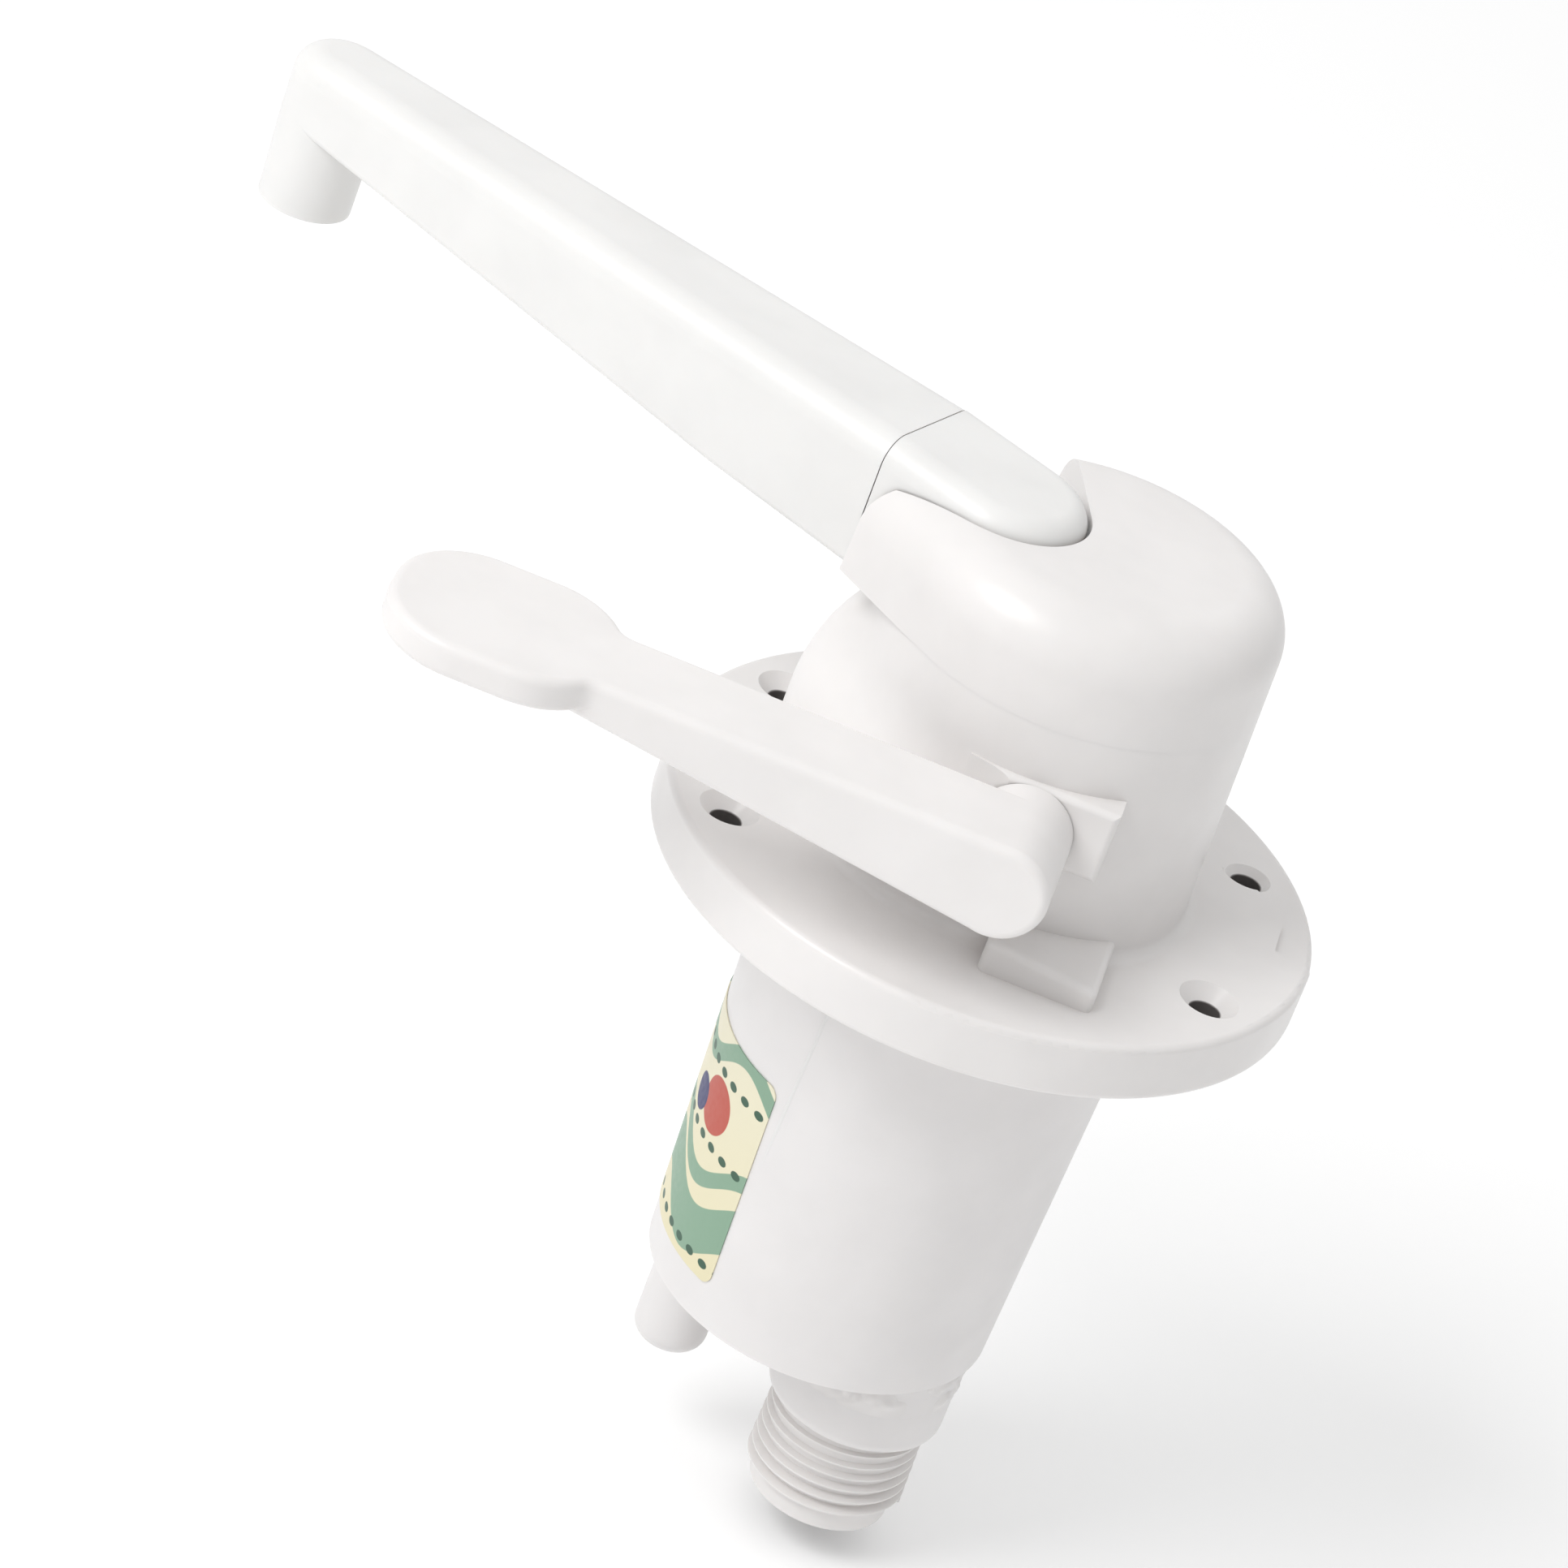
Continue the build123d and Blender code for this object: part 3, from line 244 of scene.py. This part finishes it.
def moulded_plastic(name, colour, roughness, texture=0.10, shade_bores=False):
    """Moulded plastic: faint clouding, soft gloss, a fine skin texture, and painted shade in crevices
    and slits.
    """
    material, tree, shader = new_material(name)
    place = object_coordinates(tree)
    cloud = noise_node(tree, place, 90.0, 4.0)
    fine = noise_node(tree, place, 1400.0, 2.0)

    # Colour: clouded, with painted warm shade in crevices and painted dark shade in slits
    clouded = tuple(c * 0.955 for c in colour)
    tone = mixed(tree, mapped(tree, cloud, 0.35, 0.70, 0.0, 1.0), colour, clouded)
    occlusion = tree.nodes.new("ShaderNodeAmbientOcclusion")
    occlusion.inputs["Distance"].default_value = 2.5 * MM
    occlusion.samples = 8
    openness = occlusion.outputs["AO"]
    # Painted shade: ambient occlusion darkens the colour where little light reaches
    tone = mixed(tree, mapped(tree, openness, 0.12, 0.80, 0.55, 0.0), tone, SHADE_WARM)
    tone = mixed(tree, mapped(tree, openness, 0.02, 0.16, 0.9, 0.0), tone, SLIT_SHADE)
    # Painted shade inside the body's screw holes
    if shade_bores:
        tone = paint_bore_shade(tree, place, tone)
    tree.links.new(tone, shader.inputs["Base Color"])

    # Surface
    sheen = mapped(tree, cloud, 0.3, 0.7, roughness - 0.05, roughness + 0.07)
    tree.links.new(sheen, shader.inputs["Roughness"])
    shader.inputs["IOR"].default_value = 1.49
    shader.inputs["Subsurface Weight"].default_value = 0.12
    shader.inputs["Subsurface Radius"].default_value = (1.0, 0.9, 0.8)
    shader.inputs["Subsurface Scale"].default_value = 1.2 * MM
    bump(tree, shader, fine, texture, 0.05 * MM)
    return material


def wave_band(tree, across, up, middle, phase, half_width):
    """A band that runs round the label in a gentle wave."""
    angle = math_node(tree, "ADD", product(tree, across, WAVE_TURN), phase)
    crest = product(tree, math_node(tree, "SINE", angle), WAVE_HEIGHT)
    height = difference(tree, difference(tree, up, middle), crest)
    return inside(tree, math_node(tree, "ABSOLUTE", height), half_width)


def leaf_row(tree, across, up, height, shift):
    """A row of small flat leaves at even steps round the label."""
    step = math_node(tree, "ADD", product(tree, across, 1 / LEAF_STEP), shift)
    beside = difference(tree, math_node(tree, "FRACT", step), 0.5)
    aside = product(tree, beside, LEAF_STEP)
    centre = (0.0, height * LEAF_SQUASH)
    return disc(tree, aside, product(tree, up, LEAF_SQUASH), centre, LEAF_RADIUS)


def printed_label(name):
    """Cream label with sage waves, a red sun beside a navy one, and rows of dark green leaves."""
    material, tree, shader = new_material(name)
    place = object_coordinates(tree)
    axes = split_axes(tree, place)
    back_x = product(tree, axes[0], -1.0)
    back_y = product(tree, axes[1], -1.0)
    across = product(tree, math_node(tree, "ARCTAN2", back_y, back_x), LABEL_RADIUS / MM)
    up = product(tree, difference(tree, axes[2], LABEL_MIDDLE), 1 / MM)
    fade = mapped(tree, up, -LABEL_HALF_HEIGHT, LABEL_HALF_HEIGHT, 0.0, 1.0)
    colour = mixed(tree, fade, CREAM, CREAM_PALE)
    for middle, phase, half_width in WAVES:
        band = wave_band(tree, across, up, middle, phase, half_width)
        colour = mixed(tree, band, colour, SAGE)
    for centre, radius, ink in SUNS:
        colour = mixed(tree, disc(tree, across, up, centre, radius), colour, ink)
    for height, shift in LEAF_ROWS:
        colour = mixed(tree, leaf_row(tree, across, up, height, shift), colour, DEEP_GREEN)
    tree.links.new(colour, shader.inputs["Base Color"])
    speck = noise_node(tree, place, 1200.0)
    tree.links.new(mapped(tree, speck, 0.3, 0.7, 0.34, 0.46), shader.inputs["Roughness"])
    bump(tree, shader, speck, 0.06, 0.03 * MM)
    return material


def turned_metal(name, colour):
    """Stainless steel with a fine turned grain."""
    material, tree, shader = new_material(name)
    grain = noise_node(tree, object_coordinates(tree), 2200.0)
    darker = tuple(c * 0.8 for c in colour)
    tree.links.new(mixed(tree, grain, colour, darker), shader.inputs["Base Color"])
    tree.links.new(mapped(tree, grain, 0.2, 0.8, 0.22, 0.42), shader.inputs["Roughness"])
    shader.inputs["Metallic"].default_value = 1.0
    bump(tree, shader, grain, 0.15, 0.03 * MM)
    return material


def seal_rubber(name):
    material, tree, shader = new_material(name)
    grain = noise_node(tree, object_coordinates(tree), 900.0)
    tree.links.new(mixed(tree, grain, RUBBER_DARK, RUBBER_PALE), shader.inputs["Base Color"])
    tree.links.new(mapped(tree, grain, 0.2, 0.8, 0.55, 0.75), shader.inputs["Roughness"])
    bump(tree, shader, grain, 0.2, 0.04 * MM)
    return material


def assign(names, material):
    """Gives CAD nodes their material."""
    for name in names:
        mesh = nodes[name].data
        mesh.materials.clear()
        mesh.materials.append(material)


def dress_frame():
    """Gives every CAD node its material."""
    body = moulded_plastic("white_body", WHITE_BODY, 0.34, shade_bores=True)
    assign(["faucet_body", "hood"], body)
    assign(["spout_arm", "spout_elbow"], moulded_plastic("white_arm", WHITE_ARM, 0.38))
    barrel = moulded_plastic("white_barrel", WHITE_BARREL, 0.36)
    assign(["barrel", "barrel_base", "town_water_tube"], barrel)
    assign(["hand_lever"], moulded_plastic("white_lever", WHITE_LEVER, 0.36))
    assign(["inlet_fitting"], moulded_plastic("white_thread", WHITE_THREAD, 0.42, 0.2))
    assign(GREY_NODES, moulded_plastic("grey_inner", GREY_INNER, 0.5))
    assign(RUBBER_NODES, seal_rubber("seal_rubber"))
    assign(METAL_NODES, turned_metal("stainless", STEEL))
    assign(["front_label"], printed_label("label_print"))


def add_piece(name, points, faces, material):
    """A mesh that rides on the fixed body, with the given material."""
    mesh = bpy.data.meshes.new(name)
    mesh.from_pydata(points, [], faces)
    mesh.polygons.foreach_set("use_smooth", [True] * len(mesh.polygons))
    mesh.materials.append(material)
    piece = bpy.data.objects.new(name, mesh)
    bpy.context.scene.collection.objects.link(piece)
    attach(piece, "root")


def parting_line():
    """Fine raised moulding line down the near side of the barrel, coloured a lighter white than the
    barrel as a painted highlight along the ridge.
    """
    points = []
    faces = []
    sunk = -LINE_SINK * MM
    for i in range(LINE_STEPS + 1):
        share = i / LINE_STEPS
        middle = math.radians(LINE_BEARING - LINE_DRIFT * share)
        level = (-LINE_TOP - LINE_LENGTH * share) * MM
        radius = BARREL_TOP_RADIUS + level * BARREL_SLOPE
        rise = LINE_RISE * MM * min(1.0, 4.0 * (1.0 - share))
        for turn, lift in ((-LINE_HALF_WIDTH, sunk), (0.0, rise), (LINE_HALF_WIDTH, sunk)):
            bearing = middle + turn * MM / radius
            reach = radius + lift
            points.append((reach * math.cos(bearing), reach * math.sin(bearing), level))
        if i:
            low = 3 * i
            faces.append((low - 3, low - 2, low + 1, low))
            faces.append((low - 2, low - 1, low + 2, low + 1))
    # Painted highlight: the ridge takes the arm's lighter white instead of the barrel's
    line = moulded_plastic("white_line_highlight", WHITE_ARM, 0.3, 0.0)
    add_piece("parting_line", points, faces, line)


def cement_amount(angle, share):
    """Thickness of the cement in millimetres: broad patches, streaks and crumbs."""
    x = math.cos(angle)
    y = math.sin(angle)
    coarse = noise.noise(Vector((2.2 * x, 2.2 * y, 3.0 * share + 4.0)))
    streak = noise.noise(Vector((7.0 * x + 5.0 * share, 7.0 * y, 2.0 * share)))
    crumb = noise.noise(Vector((16.0 * x, 16.0 * y, 9.0 * share)))
    amount = 0.10 + 0.55 * coarse + 0.50 * streak + 0.35 * crumb
    edge = min(1.0, 6.0 * share + 0.3) * min(1.0, 3.0 * (1.0 - share))
    return max(CEMENT_LOWEST, min(CEMENT_HIGHEST, amount * edge))


def cement_smear():
    """Uneven smears of solvent cement on the collar, just under the barrel."""
    points = []
    faces = []
    for j in range(CEMENT_ROWS + 1):
        share = j / CEMENT_ROWS
        level = BARREL_FOOT - CEMENT_REACH * share
        for i in range(CEMENT_AROUND):
            angle = 2 * math.pi * i / CEMENT_AROUND
            radius = COLLAR_RADIUS + cement_amount(angle, share) * MM
            points.append((COLLAR_X + radius * math.cos(angle), radius * math.sin(angle), level))
            if j:
                after = (i + 1) % CEMENT_AROUND
                low = j * CEMENT_AROUND
                high = low - CEMENT_AROUND
                faces.append((high + i, high + after, low + after, low + i))
    cement = moulded_plastic("white_cement", WHITE_THREAD, 0.3, 0.25)
    add_piece("cement_smear", points, faces, cement)


def make_floor():
    """Large pale floor below the inlet; it shows white and keeps the object's soft shadow."""
    mesh = bpy.data.meshes.new("floor")
    level = INLET_FOOT - FLOOR_DROP
    half = FLOOR_HALF_SIZE
    corners = [(-half, -half, level), (half, -half, level), (half, half, level), (-half, half, level)]
    mesh.from_pydata(corners, [], [(0, 1, 2, 3)])
    floor = bpy.data.objects.new("floor", mesh)
    bpy.context.scene.collection.objects.link(floor)
    material, tree, shader = new_material("floor_white")
    cloud = noise_node(tree, object_coordinates(tree), 4.0)
    tree.links.new(mixed(tree, cloud, FLOOR_PALE, FLOOR_SHADE), shader.inputs["Base Color"])
    shader.inputs["Emission Color"].default_value = (1.0, 1.0, 1.0, 1.0)
    shader.inputs["Emission Strength"].default_value = FLOOR_GLOW
    shader.inputs["Roughness"].default_value = 0.9
    shader.inputs["Specular IOR Level"].default_value = 0.1
    mesh.materials.append(material)


def make_world():
    """Soft light that grows towards the zenith; seen directly, in gloss or through glass it's white."""
    world = bpy.data.worlds.new("studio")
    bpy.context.scene.world = world
    world.use_nodes = True
    tree = world.node_tree
    tree.nodes.clear()
    output = tree.nodes.new("ShaderNodeOutputWorld")
    ambient = tree.nodes.new("ShaderNodeBackground")
    seen = tree.nodes.new("ShaderNodeBackground")
    for background in (ambient, seen):
        background.inputs["Color"].default_value = (1.0, 1.0, 1.0, 1.0)
        background.inputs["Strength"].default_value = 1.0
    direction = tree.nodes.new("ShaderNodeTexCoord").outputs["Generated"]
    rise = split_axes(tree, direction)[2]
    strength = mapped(tree, rise, 0.0, 1.0, HORIZON_LIGHT, ZENITH_LIGHT)
    tree.links.new(strength, ambient.inputs["Strength"])
    rays = tree.nodes.new("ShaderNodeLightPath").outputs
    direct = math_node(tree, "MAXIMUM", rays["Is Camera Ray"], rays["Is Glossy Ray"])
    white = math_node(tree, "MAXIMUM", direct, rays["Is Transmission Ray"])
    mix = tree.nodes.new("ShaderNodeMixShader")
    tree.links.new(white, mix.inputs[0])
    tree.links.new(ambient.outputs[0], mix.inputs[1])
    tree.links.new(seen.outputs[0], mix.inputs[2])
    tree.links.new(mix.outputs[0], output.inputs["Surface"])


def make_key_light():
    """One large soft lamp, high on the left in front."""
    data = bpy.data.lights.new("key", "AREA")
    data.shape = "DISK"
    data.size = KEY_SIZE
    data.energy = KEY_POWER
    light = bpy.data.objects.new("key", data)
    light.location = KEY_PLACE
    light.rotation_mode = "QUATERNION"
    towards = Vector(KEY_TARGET) - Vector(KEY_PLACE)
    light.rotation_quaternion = towards.to_track_quat("-Z", "Y")
    bpy.context.scene.collection.objects.link(light)


def make_camera():
    data = bpy.data.cameras.new("camera")
    data.lens = LENS
    data.clip_start = 0.01
    data.clip_end = 50.0
    camera = bpy.data.objects.new("camera", data)
    right = CAMERA_FORWARD.cross(CAMERA_UP).normalized()
    up = right.cross(CAMERA_FORWARD).normalized()
    turn = Matrix((right, up, -CAMERA_FORWARD.normalized())).transposed().to_4x4()
    camera.matrix_world = Matrix.Translation(CAMERA_PLACE) @ turn
    bpy.context.scene.collection.objects.link(camera)
    bpy.context.scene.camera = camera


dress_frame()
parting_line()
cement_smear()
make_floor()
make_world()
make_key_light()
make_camera()
bpy.context.scene.view_settings.view_transform = "Standard"
